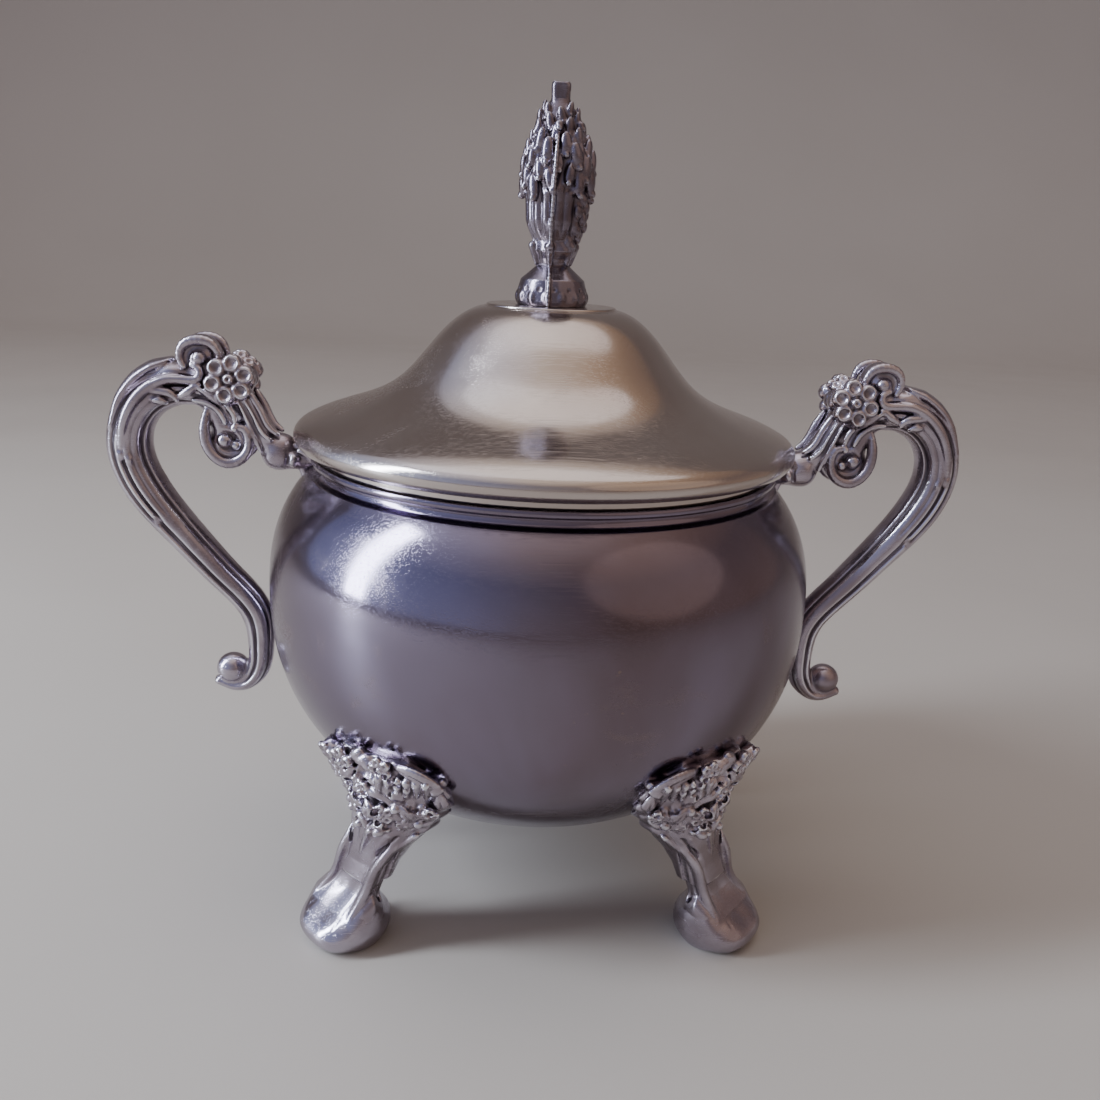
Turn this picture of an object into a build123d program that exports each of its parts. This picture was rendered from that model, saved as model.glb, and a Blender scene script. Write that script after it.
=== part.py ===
from build123d import *

import os
from math import hypot, pi, sin

# A footed, two-handled sugar bowl with a lift-off lid, in millimetres.
# +Z is up, the handles lie along X, the front is -Y, and the origin is on the table.

# Bowl: a spun globe with a short collar.
BELLY_R = 53.3
BELLY_Z = 62.0
BELLY_LOWER = 44.8  # from the widest circle down to the underside
BELLY_UPPER = 36.0  # from the widest circle up to where the shoulder curve would close
LOWER_POWER = 2.2
UPPER_POWER = 2.5
WALL = 1.3
SHOULDER_Z = 85.0
COLLAR_R = 43.7
COLLAR_FOOT_Z = 86.6
RIM_Z = 88.7
RIM_WIRE_R = 45.2
RIM_WIRE_HEIGHT = 1.8

# Lid: a spun bell with a turned-down brim, a locating ring under it and a screwed finial on top.
SEAT_GAP = 0.05
LID_WALL = 1.0
BRIM_R = 48.3
BRIM_Z = 92.4
LIP_R = 45.6
LIP_Z = 89.9
DISC_R = 12.4
DISC_Z = 117.0
DISC_STEP = 0.5
RING_R = 41.8
RING_WALL = 0.9
RING_BOTTOM_Z = 84.0
SEAT_R = 44.2
STUD_R = 1.5
STUD_CLEARANCE = 0.05
STUD_BOTTOM_Z = 111.8
STUD_TOP_Z = 123.0
WASHER_R = 5.0
WASHER_THICK = 0.8
NUT_R = 3.2
NUT_THICK = 2.4

# Handles: each cast in one piece. Points are (distance from the bowl's axis, height).
ARM_DEPTH = 9.0
KNUCKLE = (52.0, 87.4)
KNUCKLE_R = 3.9
ROSETTE = (60.4, 101.1)
ROSETTE_R = 4.9
ROSETTE_DEPTH = 11.0
TOP_CURL = (66.1, 105.3)
TOP_CURL_R = 4.3
TOP_CURL_DEPTH = 8.5
VOLUTE = (61.4, 88.6)
VOLUTE_R = 4.1
VOLUTE_DEPTH = 9.0
TAIL_BALL = (62.6, 40.6)
TAIL_BALL_R = 3.5

# Feet: four cast feet on the diagonals, each with a leafy crest soldered to the bowl. Every crest
# leans towards the front or the back and every toe turns towards a handle, so they come in two hands.
FOOT_ANGLES = {"front_right": -45, "back_right": 45, "back_left": 135, "front_left": 225}
MIRRORED_FEET = ("front_right", "back_left")
CREST_THICK = 3.0
CREST_TOP_Z = 44.0
CREST_NEAR_EDGE = -3.6
CREST_FAR_EDGE = 21.4
CREST_INNER_R = 34.0  # the crest stops here on the bowl's underside
SHIN_HALF_WIDTH = 7.0
ANKLE_Z = 18.0
ANKLE_HALF_WIDTH = 5.4
TOE_R = 47.4  # distance from the bowl's axis to the middle of the toe
TOE_TURN = 3.5
TOE_HALF_LENGTH = 7.8
TOE_HALF_WIDTH = 8.2
TOE_Z = 5.0
TOE_BEVEL = 1.5
HEEL_R = 45.0
HEEL_LENGTH = 9.0


def flat(points):
    """Points of a vertical outline, given as (distance from the axis, height), in 3-D."""
    return [Vector(r, 0, z) for r, z in points]


def belly_arc(power, height, side, stop_z=None, inset=0.0, steps=10):
    """Points of one half of the globe's outline, from the widest circle towards its pole."""
    radius = BELLY_R - inset
    reach = height - inset
    last = 1.0 if stop_z is None else (abs(stop_z - BELLY_Z) / reach) ** (power / 2)
    points = []
    for step in range(steps + 1):
        rise = sin(pi / 2 * step / steps) * last
        run = (1 - rise**2) ** (1 / power)
        points.append((radius * run, BELLY_Z + side * reach * rise ** (2 / power)))
    return points


def spun(*edges):
    """Solid of revolution about Z from the closed outline that the edges make."""
    return revolve(make_face(edges), Axis.Z, 360)


def globe(inset=0.0):
    """The bowl's belly as a filled solid, without its collar."""
    upper = belly_arc(UPPER_POWER, BELLY_UPPER, 1, SHOULDER_Z, inset)
    lower = belly_arc(LOWER_POWER, BELLY_LOWER, -1, None, inset)
    top = upper[-1]
    return spun(
        Spline(flat(upper), tangents=[Vector(0, 0, 1), Vector(-0.7, 0, 0.6)]),
        Spline(flat(lower), tangents=[Vector(0, 0, -1), Vector(-1, 0, 0)]),
        Line(*flat([(0, BELLY_Z - BELLY_LOWER + inset), (0, top[1])])),
        Line(*flat([(0, top[1]), top])),
    )


def collar(outer_r, foot_r):
    """Filled collar that stands on the globe, with a concave foot."""
    return spun(
        Polyline(flat([(foot_r, SHOULDER_Z), (0, SHOULDER_Z), (0, RIM_Z), (outer_r, RIM_Z)])),
        Line(*flat([(outer_r, RIM_Z), (outer_r, COLLAR_FOOT_Z)])),
        ThreePointArc(
            *flat(
                [
                    (outer_r, COLLAR_FOOT_Z),
                    (outer_r + 0.25 * (foot_r - outer_r), SHOULDER_Z + 0.4),
                    (foot_r, SHOULDER_Z),
                ]
            )
        ),
    )


def bowl_outside():
    """The bowl's belly and collar as one filled solid."""
    shoulder_r = belly_arc(UPPER_POWER, BELLY_UPPER, 1, SHOULDER_Z)[-1][0]
    return globe() + collar(COLLAR_R, shoulder_r)


def bowl_body():
    mouth = Cylinder(COLLAR_R - WALL, RIM_Z, align=(Align.CENTER, Align.CENTER, Align.MIN))
    hollow = globe(WALL) + Pos(0, 0, BELLY_Z) * mouth
    return bowl_outside() - hollow


def bowl_rim_wire():
    """Half-round wire soldered around the top of the collar."""
    bottom_z = RIM_Z - RIM_WIRE_HEIGHT
    round_r = RIM_WIRE_R - RIM_WIRE_HEIGHT / 2
    middle_z = RIM_Z - RIM_WIRE_HEIGHT / 2
    return spun(
        Polyline(flat([(round_r, RIM_Z), (COLLAR_R, RIM_Z), (COLLAR_R, bottom_z), (round_r, bottom_z)])),
        ThreePointArc(*flat([(round_r, bottom_z), (RIM_WIRE_R, middle_z), (round_r, RIM_Z)])),
    )


def parallel(curve, distance, steps=40):
    """Spline that keeps a set distance from a curve, on the left of its direction."""
    points = []
    for step in range(steps + 1):
        place = curve.position_at(step / steps)
        along = curve.tangent_at(step / steps)
        length = hypot(along.X, along.Z)
        points.append(place + Vector(-along.Z, 0, along.X) * (distance / length))
    return Spline(points)


def lid_shell():
    """Bell-shaped sheet with a rolled brim and a raised disc that carries the finial."""
    bell = Spline(
        flat(
            [
                (DISC_R, DISC_Z),
                (16.6, 115.4),
                (22.2, 110.0),
                (28.6, 102.8),
                (38.0, 98.0),
                (BRIM_R - 1.6, 94.6),
            ]
        ),
        tangents=[Vector(1, 0, -0.15), Vector(0.9, 0, -0.5)],
    )
    brim = ThreePointArc(*flat([(BRIM_R - 1.6, 94.6), (BRIM_R, BRIM_Z), (LIP_R, LIP_Z)]))
    inner_bell = parallel(bell, -LID_WALL)
    inner_brim = parallel(brim, -LID_WALL, 12)
    sheet = spun(
        bell,
        brim,
        Line(brim @ 1, inner_brim @ 1),
        inner_brim,
        Line(inner_brim @ 0, inner_bell @ 1),
        inner_bell,
        Line(inner_bell @ 0, bell @ 0),
    )
    low = (inner_bell @ 0).Z
    high = DISC_Z + DISC_STEP
    disc = Pos(0, 0, low) * Cylinder(DISC_R, high - low, align=(Align.CENTER, Align.CENTER, Align.MIN))
    hole = Pos(0, 0, DISC_Z) * Cylinder(STUD_R + 0.3, 10)
    return sheet + disc - hole


def lid_bezel(shell):
    """Locating ring soldered under the lid, with a seat that rests on the bowl's rim."""
    inner_r = RING_R - RING_WALL
    seat_z = RIM_Z + SEAT_GAP
    ring = spun(
        Polyline(
            flat(
                [
                    (inner_r, RING_BOTTOM_Z),
                    (RING_R, RING_BOTTOM_Z),
                    (RING_R, seat_z),
                    (SEAT_R, seat_z),
                    (SEAT_R, seat_z + RING_WALL),
                    (RING_R, seat_z + RING_WALL),
                    (RING_R, DISC_Z),
                    (inner_r, DISC_Z),
                    (inner_r, RING_BOTTOM_Z),
                ]
            )
        )
    )
    return (ring - shell).solids().sort_by(Axis.Z)[0]


def finial():
    """Cast leafy bud on a bun-shaped base, bored for its stud."""
    base_z = DISC_Z + DISC_STEP
    outline = Spline(
        flat(
            [
                (6.7, base_z + 2.0),
                (5.2, base_z + 5.7),
                (2.9, base_z + 7.4),
                (4.2, base_z + 10.3),
                (5.7, base_z + 15.2),
                (6.6, base_z + 21.2),
                (5.9, base_z + 27.5),
                (2.6, base_z + 33.2),
                (2.0, base_z + 36.0),
            ]
        )
    )
    tip_z = base_z + 39.4
    bud = spun(
        Polyline(flat([(2.0, base_z + 36.0), (2.0, tip_z), (0, tip_z), (0, base_z), (6.7, base_z)])),
        Line(*flat([(6.7, base_z), (6.7, base_z + 2.0)])),
        outline,
    )
    bore = Pos(0, 0, base_z) * Cylinder(STUD_R + STUD_CLEARANCE, 2 * (STUD_TOP_Z - base_z + 0.5))
    return bud - bore


def upright(radius, bottom_z, top_z):
    """Vertical cylinder on the axis between two heights."""
    return Pos(0, 0, (bottom_z + top_z) / 2) * Cylinder(radius, top_z - bottom_z)


def lid_fixings(shell):
    """Stud, washer and nut that hold the finial from inside the lid."""
    ceiling = min(f.center().Z for f in shell.faces().filter_by(Axis.Z))
    washer_z = ceiling - SEAT_GAP - WASHER_THICK
    nut_z = washer_z - SEAT_GAP - NUT_THICK
    clearance = upright(STUD_R + STUD_CLEARANCE, nut_z - 1, DISC_Z)
    nut = Pos(0, 0, nut_z) * extrude(RegularPolygon(NUT_R, 6), NUT_THICK)
    return {
        "finial_stud": upright(STUD_R, STUD_BOTTOM_Z, STUD_TOP_Z),
        "finial_washer": upright(WASHER_R, washer_z, washer_z + WASHER_THICK) - clearance,
        "finial_nut": nut - clearance,
    }


def bar(stations):
    """Rounded bar through stations of (distance, height, width across, depth front to back)."""
    path = Spline(flat([(r, z) for r, z, _, _ in stations]))
    sections = []
    for r, z, width, depth in stations:
        along = path.tangent_at(path.param_at_point(Vector(r, 0, z)))
        plane = Plane(origin=(r, 0, z), x_dir=(0, 1, 0), z_dir=along)
        sections.append(plane * Ellipse(depth / 2, width / 2))
    return loft(sections)


def cross_disc(centre, radius, depth):
    """Disc whose axis runs front to back, with softened edges."""
    disc = Cylinder(radius, depth, rotation=(90, 0, 0))
    return Pos(centre[0], 0, centre[1]) * fillet(disc.edges().filter_by(GeomType.CIRCLE), 0.2 * radius)


def ball(centre, radius):
    return Pos(centre[0], 0, centre[1]) * Sphere(radius)


def right_handle(bowl_solid):
    """C-scroll handle with its rosette, curls and tail, as one casting."""
    arm = bar(
        [
            (62.0, 97.5, 5.0, 6.5),
            (67.5, 99.9, 7.6, 8.0),
            (73.2, 99.4, 8.4, ARM_DEPTH),
            (78.2, 94.8, 8.5, ARM_DEPTH),
            (80.0, 87.8, 8.7, ARM_DEPTH),
            (77.2, 79.4, 8.6, ARM_DEPTH),
            (70.4, 70.6, 7.4, 8.2),
            (62.2, 61.4, 6.7, 7.4),
            (55.9, 53.8, 6.2, 6.8),
            (55.9, 47.6, 4.8, 6.2),
            (57.2, 42.2, 4.6, 6.0),
            (60.6, 39.6, 4.2, 5.6),
        ]
    )
    leg = bar(
        [
            (61.6, 101.0, 5.2, 7.0),
            (57.4, 94.6, 5.2, 6.6),
            (54.0, 89.6, 4.6, 6.4),
            (51.0, 86.6, 4.2, 6.0),
        ]
    )
    stem = bar(
        [
            (64.6, 98.8, 4.4, 6.4),
            (61.6, 95.4, 4.0, 6.4),
            (61.2, 91.0, 4.0, 6.8),
            (61.4, 88.6, 3.6, 7.0),
        ]
    )
    bridge = bar([(53.0, 86.4, 5.0, 7.0), (49.0, 86.0, 4.0, 6.2), (43.0, 86.0, 3.2, 5.6)])
    drop = bar([(48.0, 86.0, 3.0, 3.4), (47.6, 83.6, 2.6, 3.0), (46.8, 81.0, 2.0, 2.4)])
    casting = arm + leg + stem + bridge + drop
    casting += cross_disc(ROSETTE, ROSETTE_R, ROSETTE_DEPTH)
    casting += cross_disc(TOP_CURL, TOP_CURL_R, TOP_CURL_DEPTH)
    casting += cross_disc(VOLUTE, VOLUTE_R, VOLUTE_DEPTH)
    casting += ball(KNUCKLE, KNUCKLE_R)
    casting += ball(TAIL_BALL, TAIL_BALL_R)
    return (casting - bowl_solid).solids().sort_by(SortBy.VOLUME)[-1]


def foot(bowl_solid):
    """Cast foot on the +X side: crest leaning to +Y, shin, and broad toe turned to -Y."""
    toe_low = -TOE_TURN - TOE_HALF_WIDTH
    toe_high = -TOE_TURN + TOE_HALF_WIDTH
    front = make_face(
        [
            Line((CREST_NEAR_EDGE, CREST_TOP_Z), (CREST_FAR_EDGE, CREST_TOP_Z)),
            Spline(
                (CREST_FAR_EDGE, CREST_TOP_Z),
                (18.6, 35.0),
                (12.6, 27.4),
                (ANKLE_HALF_WIDTH, ANKLE_Z),
                (toe_high, TOE_Z),
            ),
            Polyline(
                (toe_high, TOE_Z),
                (toe_high - TOE_BEVEL, 0),
                (toe_low + TOE_BEVEL, 0),
                (toe_low, TOE_Z),
            ),
            Spline(
                (toe_low, TOE_Z),
                (-ANKLE_HALF_WIDTH, ANKLE_Z),
                (-4.6, 27.0),
                (CREST_NEAR_EDGE, CREST_TOP_Z),
            ),
        ]
    )
    front_prism = extrude(Plane.YZ.offset(CREST_INNER_R) * front, 2 * CREST_INNER_R)
    crest = globe(-CREST_THICK) & front_prism
    shin = Spline(
        flat(
            [
                (53.2, 42.0),
                (51.6, 32.0),
                (46.8, 22.0),
                (47.0, 14.6),
                (53.4, 8.6),
                (TOE_R + TOE_HALF_LENGTH, 4.6),
                (53.0, 0.0),
            ]
        )
    )
    side = make_face(
        [
            shin,
            Polyline(flat([(53.0, 0), (43.0, 0)])),
            Spline(flat([(43.0, 0), (42.0, 9.0), (41.4, 18.0), (37.0, 25.0)])),
            Polyline(flat([(37.0, 25.0), (37.0, 42.0), (53.2, 42.0)])),
        ]
    )
    slab = extrude(side, 2 * TOE_HALF_WIDTH, both=True) & front_prism
    toe_plan = Pos(TOE_R, -TOE_TURN) * extrude(Ellipse(TOE_HALF_LENGTH, TOE_HALF_WIDTH), ANKLE_Z)
    heel_plan = Pos(HEEL_R, 0) * extrude(Rectangle(HEEL_LENGTH, 2 * ANKLE_HALF_WIDTH), ANKLE_Z)
    shin_plan = Pos(TOE_R, 0) * extrude(Rectangle(40, 2 * SHIN_HALF_WIDTH), CREST_TOP_Z)
    shin_plan -= Box(200, 200, 2 * ANKLE_Z)
    leg = slab & (toe_plan + heel_plan + shin_plan)
    return ((crest + leg) - bowl_solid).solids().sort_by(SortBy.VOLUME)[-1]


def main():
    os.makedirs("parts", exist_ok=True)
    body = bowl_body()
    wire = bowl_rim_wire()
    outside = bowl_outside() + wire
    shell = lid_shell()
    handle = right_handle(outside)
    pieces = {
        "bowl_body": body,
        "bowl_rim_wire": wire,
        "right_handle": handle,
        "left_handle": mirror(handle, Plane.YZ),
        "lid_shell": shell,
        "lid_bezel": lid_bezel(shell),
        "finial": finial(),
    }
    pieces.update(lid_fixings(shell))
    cast_foot = foot(outside)
    other_foot = mirror(cast_foot, Plane.XZ)
    for place, angle in FOOT_ANGLES.items():
        pattern = other_foot if place in MIRRORED_FEET else cast_foot
        pieces[f"foot_{place}"] = Rot(0, 0, angle) * pattern
    for name, piece in pieces.items():
        export_step(piece, f"parts/{name}.step")


main()
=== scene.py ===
from math import cos, pi, radians, sin

import bpy
import numpy as np
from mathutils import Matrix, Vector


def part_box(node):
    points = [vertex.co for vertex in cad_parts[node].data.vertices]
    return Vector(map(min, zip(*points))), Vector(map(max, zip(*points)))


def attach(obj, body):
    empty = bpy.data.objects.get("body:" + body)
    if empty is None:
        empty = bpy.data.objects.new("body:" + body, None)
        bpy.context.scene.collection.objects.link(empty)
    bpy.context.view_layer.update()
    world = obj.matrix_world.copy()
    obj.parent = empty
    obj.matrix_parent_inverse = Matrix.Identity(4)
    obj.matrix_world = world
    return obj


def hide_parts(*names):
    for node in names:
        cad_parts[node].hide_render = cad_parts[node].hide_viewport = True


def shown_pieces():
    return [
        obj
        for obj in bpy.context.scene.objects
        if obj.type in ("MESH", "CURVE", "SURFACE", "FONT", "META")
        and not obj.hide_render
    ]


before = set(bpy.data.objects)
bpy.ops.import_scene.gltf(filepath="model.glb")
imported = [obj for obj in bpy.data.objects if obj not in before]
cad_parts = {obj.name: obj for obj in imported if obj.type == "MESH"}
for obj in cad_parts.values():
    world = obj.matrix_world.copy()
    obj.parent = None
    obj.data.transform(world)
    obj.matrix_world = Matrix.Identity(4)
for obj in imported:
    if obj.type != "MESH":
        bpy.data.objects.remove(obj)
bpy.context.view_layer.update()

import openvdb
from mathutils import Matrix, Vector

# Geometry is worked out in millimetres and handed to Blender in metres.
MM = 0.001


def node_box(node):
    """Lowest and highest corner of a CAD node, in millimetres."""
    low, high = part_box(node)
    return Vector(low) / MM, Vector(high) / MM


# The bowl's outline: two superellipses that meet at the widest circle.
BOWL_LOW, BOWL_HIGH = node_box("bowl_body")
BELLY_R = BOWL_HIGH.x
BELLY_Z = 62.0
LOWER_REACH = BELLY_Z - BOWL_LOW.z
UPPER_REACH = 36.0
LOWER_POWER = 2.2
UPPER_POWER = 2.5
WALL = 1.3
SHOULDER_Z = 85.0
COLLAR_R = 43.7
RIM_Z = BOWL_HIGH.z
RIM_WIRE_R = node_box("bowl_rim_wire")[1].x

# The lid's outline.
LID_LOW, LID_HIGH = node_box("lid_shell")
LID_WALL = 1.0
DISC_R = 12.4
DISC_STEP = 0.5
LIP_R = 45.6

FINIAL_LOW, FINIAL_HIGH = node_box("finial")

UP = Vector((0, 0, 1))
UPRIGHT = ((1, 0, 0), (0, 1, 0), (0, 0, 1))
# Steps that strew points evenly without a visible pattern.
GOLDEN = 0.61803
SECOND_STEP = 0.75488


def spoke(angle):
    """Level unit vector at an angle about Z."""
    return Vector((cos(angle), sin(angle), 0))


# ---- curves and meshes


def lengths_along(points):
    """Distance from the first point to each point, along the straight pieces between them."""
    return np.concatenate([[0], np.cumsum(np.linalg.norm(np.diff(points, axis=0), axis=1))])


def smooth_curve(points, count, start=None, end=None):
    """Evenly spaced samples of a cubic spline through the points, with optional directions at its ends."""
    knots = np.array(points, float)
    t = lengths_along(knots)
    chord = np.linalg.norm(np.diff(knots, axis=0), axis=1)
    size = len(t)
    slopes = np.diff(knots, axis=0) / chord[:, None]
    system = np.zeros((size, size))
    known = np.zeros_like(knots)
    for i in range(1, size - 1):
        system[i, i - 1 : i + 2] = chord[i - 1], 2 * (chord[i - 1] + chord[i]), chord[i]
        known[i] = 6 * (slopes[i] - slopes[i - 1])
    system[0, 0] = system[-1, -1] = 1
    if start is not None:
        system[0, :2] = 2 * chord[0], chord[0]
        known[0] = 6 * (slopes[0] - np.array(start, float) / np.linalg.norm(start))
    if end is not None:
        system[-1, -2:] = chord[-1], 2 * chord[-1]
        known[-1] = 6 * (np.array(end, float) / np.linalg.norm(end) - slopes[-1])
    bend = np.linalg.solve(system, known)
    at = np.linspace(0, t[-1], count)
    i = np.clip(np.searchsorted(t, at, side="right") - 1, 0, size - 2)
    h = chord[i][:, None]
    a = ((t[i + 1] - at) / chord[i])[:, None]
    b = 1 - a
    return a * knots[i] + b * knots[i + 1] + ((a**3 - a) * bend[i] + (b**3 - b) * bend[i + 1]) * h**2 / 6


def placed(name, data):
    """New object in the scene that shows the data."""
    thing = bpy.data.objects.new(name, data)
    bpy.context.scene.collection.objects.link(thing)
    return thing


def make_piece(name, vertices, faces, body, replaced=(), smooth_angle=None):
    """Mesh object in metres from vertices in millimetres, riding on a body in place of CAD nodes."""
    mesh = bpy.data.meshes.new(name)
    mesh.from_pydata(np.asarray(vertices, float) * MM, [], faces)
    mesh.validate()
    mesh.shade_smooth()
    if smooth_angle:
        mesh.set_sharp_from_angle(angle=radians(smooth_angle))
    piece = placed(name, mesh)
    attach(piece, body)
    if replaced:
        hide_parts(*replaced)
    return piece


def lathe(name, outline, body, replaced=(), steps=288, smooth_angle=35):
    """Piece turned about Z from an outline of (radius, height). Off the axis it is closed into a ring."""
    vertices, rings = [], []
    for radius, height in outline:
        count = 1 if radius < 1e-6 else steps
        rings.append(range(len(vertices), len(vertices) + count))
        for k in range(count):
            angle = 2 * pi * k / steps
            vertices.append((radius * cos(angle), radius * sin(angle), height))
    pairs = list(zip(rings, rings[1:]))
    if len(rings[0]) > 1:
        pairs.append((rings[-1], rings[0]))
    faces = []
    for a, b in pairs:
        for k in range(steps):
            corners = [a[k % len(a)], a[(k + 1) % steps % len(a)], b[(k + 1) % steps % len(b)], b[k % len(b)]]
            faces.append(tuple(dict.fromkeys(corners)))
    return make_piece(name, vertices, [f for f in faces if len(f) > 2], body, replaced, smooth_angle)


# ---- modelling clay


def soft_min(a, b, soft):
    """Smooth union of two signed distances: soft is how wide the fillet between them is."""
    share = np.clip(0.5 + 0.5 * (b - a) / soft, 0, 1)
    return b + (a - b) * share - soft * share * (1 - share)


def soft_max(a, b, soft):
    """Smooth intersection of two signed distances."""
    return -soft_min(-a, -b, soft)


class Clay:
    """Block of signed distances in millimetres, negative inside, in which the castings are modelled."""

    def __init__(self, low, high, step, band=2.4):
        self.low = np.array(low, float)
        self.step = step
        self.band = band
        size = np.ceil((np.array(high, float) - self.low) / step).astype(int) + 1
        self.axes = [self.low[i] + step * np.arange(size[i]) for i in range(3)]
        self.d = np.full(size, band, np.float32)

    def window(self, low, high, margin):
        """Slices of the block round a box, with the coordinates there."""
        spans = []
        for i in range(3):
            first = int(np.floor((low[i] - margin - self.low[i]) / self.step))
            last = int(np.ceil((high[i] + margin - self.low[i]) / self.step)) + 1
            spans.append(slice(max(first, 0), max(min(last, len(self.axes[i])), 0)))
        x, y, z = (self.axes[i][spans[i]].astype(np.float32) for i in range(3))
        return tuple(spans), x[:, None, None], y[None, :, None], z[None, None, :]

    def merge(self, low, high, shape, soft=0.5, carve=False):
        """Adds the shape, a function of (x, y, z) giving signed distance, or carves it out."""
        where, x, y, z = self.window(low, high, soft + self.band)
        old = self.d[where]
        if old.size == 0:
            return
        new = shape(x, y, z)
        self.d[where] = -soft_min(-old, new, soft) if carve else soft_min(old, new, soft)

    def ball(self, centre, radius, soft=0.4, carve=False):
        c = np.array(centre, float)

        def shape(x, y, z):
            return np.sqrt((x - c[0]) ** 2 + (y - c[1]) ** 2 + (z - c[2]) ** 2) - radius

        self.merge(c - radius, c + radius, shape, soft, carve)

    def egg(self, centre, radii, axes, soft=0.4, carve=False):
        """Ellipsoid with the given radii along three unit axes."""
        c = np.array(centre, float)
        reach = max(radii)
        small = min(radii)

        def shape(x, y, z):
            total = 0
            for radius, axis in zip(radii, axes):
                along = (x - c[0]) * axis[0] + (y - c[1]) * axis[1] + (z - c[2]) * axis[2]
                total = total + (along / radius) ** 2
            return (np.sqrt(total) - 1) * small

        self.merge(c - reach, c + reach, shape, soft, carve)

    def rod(self, start, end, start_r, end_r, soft=0.4, carve=False):
        """Round rod that tapers from one radius to another."""
        a, b = np.array(start, float), np.array(end, float)
        run = b - a
        length2 = max(float(run @ run), 1e-9)

        def shape(x, y, z):
            u = ((x - a[0]) * run[0] + (y - a[1]) * run[1] + (z - a[2]) * run[2]) / length2
            u = np.clip(u, 0, 1)
            dx, dy, dz = x - a[0] - u * run[0], y - a[1] - u * run[1], z - a[2] - u * run[2]
            return np.sqrt(dx**2 + dy**2 + dz**2) - (start_r + (end_r - start_r) * u)

        reach = max(start_r, end_r)
        self.merge(np.minimum(a, b) - reach, np.maximum(a, b) + reach, shape, soft, carve)

    def thread(self, points, radii, soft=0.3, carve=False, count=16):
        """Round cord along a smooth curve, its radius following the given values."""
        path = smooth_curve(points, count)
        sizes = np.interp(np.linspace(0, 1, count), np.linspace(0, 1, len(radii)), radii)
        for i in range(count - 1):
            self.rod(path[i], path[i + 1], sizes[i], sizes[i + 1], soft, carve)

    def strip(self, spine, widths, depths, relief=None, soft=0.6):
        """Bar along a curve in the XZ plane, symmetric about y = 0.

        widths and depths are its half sizes, in the plane and across it. relief scales the depth by how far
        across the width (-1 to 1, left of the direction positive) and how far along (0 to 1) a place lies.
        """
        count = 400
        path = smooth_curve(spine, count)
        knots = lengths_along(np.array(spine, float))
        station = lengths_along(path)
        knots = knots / knots[-1]
        along_path = station / station[-1]
        spacing = station[-1] / (count - 1)
        tangent = np.gradient(path, axis=0)
        tangent /= np.linalg.norm(tangent, axis=1)[:, None]
        reach = max(widths)
        low = (path[:, 0].min() - reach, 0, path[:, 1].min() - reach)
        high = (path[:, 0].max() + reach, max(depths), path[:, 1].max() + reach)

        def shape(x, y, z):
            flat_x, flat_z = np.broadcast_arrays(x[:, 0, :], z[:, 0, :])
            nearest = np.zeros(flat_x.shape, int)
            for row in range(flat_x.shape[0]):
                dx = flat_x[row][:, None] - path[None, :, 0]
                dz = flat_z[row][:, None] - path[None, :, 1]
                nearest[row] = np.argmin(dx * dx + dz * dz, axis=1)
            dx = flat_x - path[nearest, 0]
            dz = flat_z - path[nearest, 1]
            ahead = dx * tangent[nearest, 0] + dz * tangent[nearest, 1]
            aside = dz * tangent[nearest, 0] - dx * tangent[nearest, 1]
            along = np.clip(along_path[nearest] + ahead / station[-1], 0, 1)
            beyond = np.maximum(np.abs(ahead) - spacing, 0)
            wide = np.interp(along, knots, widths)
            deep = np.interp(along, knots, depths)
            if relief is not None:
                deep = deep * relief(aside / wide, along)
            flat_part = (aside / wide) ** 2 + (beyond / wide) ** 2
            level = np.sqrt(flat_part[:, None, :] + (y / deep[:, None, :]) ** 2)
            return (level - 1) * np.minimum(wide, deep)[:, None, :]

        self.merge(low, high, shape, soft)

    def skin(self, mirrored=False):
        """Surface of the clay: vertices, faces and how hollow each vertex lies, coarsely and finely.

        mirrored says that only the half with y >= 0 was modelled.
        """
        d = np.clip(self.d, -self.band, self.band)
        low = self.low.copy()
        if mirrored:
            d = np.concatenate([d[:, :0:-1, :], d], axis=1)
            low[1] -= (self.d.shape[1] - 1) * self.step
        grid = openvdb.FloatGrid(self.band)
        grid.copyFromArray(np.ascontiguousarray(d, np.float32))
        points, quads = grid.convertToQuads(0.0)
        hollow = -sample(smeared(d, 4), points)
        crevice = -sample(smeared(d, 1), points)
        return points * self.step + low, quads.astype(int), hollow, crevice


def cast(name, skin, body, replaced, transform=None):
    """Piece made from a clay skin, moved or mirrored by a matrix."""
    vertices, quads, hollow, crevice = skin
    if transform is not None:
        matrix = np.array(transform)
        vertices = vertices @ matrix[:3, :3].T + matrix[:3, 3]
        if np.linalg.det(matrix[:3, :3]) < 0:
            quads = quads[:, ::-1]
    piece = make_piece(name, vertices, quads.tolist(), body, replaced)
    for label, values in (("hollow", hollow), ("crevice", crevice)):
        layer = piece.data.attributes.new(label, "FLOAT", "POINT")
        layer.data.foreach_set("value", values.astype(np.float32))
    return piece


def smeared(d, reach):
    """Box blur, twice along each axis."""
    for _ in range(2):
        for axis in range(3):
            before = np.repeat(d.take([0], axis), reach + 1, axis)
            after = np.repeat(d.take([-1], axis), reach, axis)
            padded = np.concatenate([before, d, after], axis)
            total = np.cumsum(padded, axis=axis, dtype=np.float64)
            width = 2 * reach + 1
            size = d.shape[axis]
            d = (total.take(range(width, width + size), axis) - total.take(range(size), axis)) / width
    return d.astype(np.float32)


def sample(d, points):
    """Values of a block at points given in its own steps."""
    base = np.clip(np.floor(points).astype(int), 0, np.array(d.shape) - 2)
    part = points - base
    total = 0
    for corner in np.ndindex(2, 2, 2):
        weight = np.prod(np.where(np.array(corner) == 1, part, 1 - part), axis=1)
        total = total + weight * d[tuple((base + corner).T)]
    return total


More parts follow.
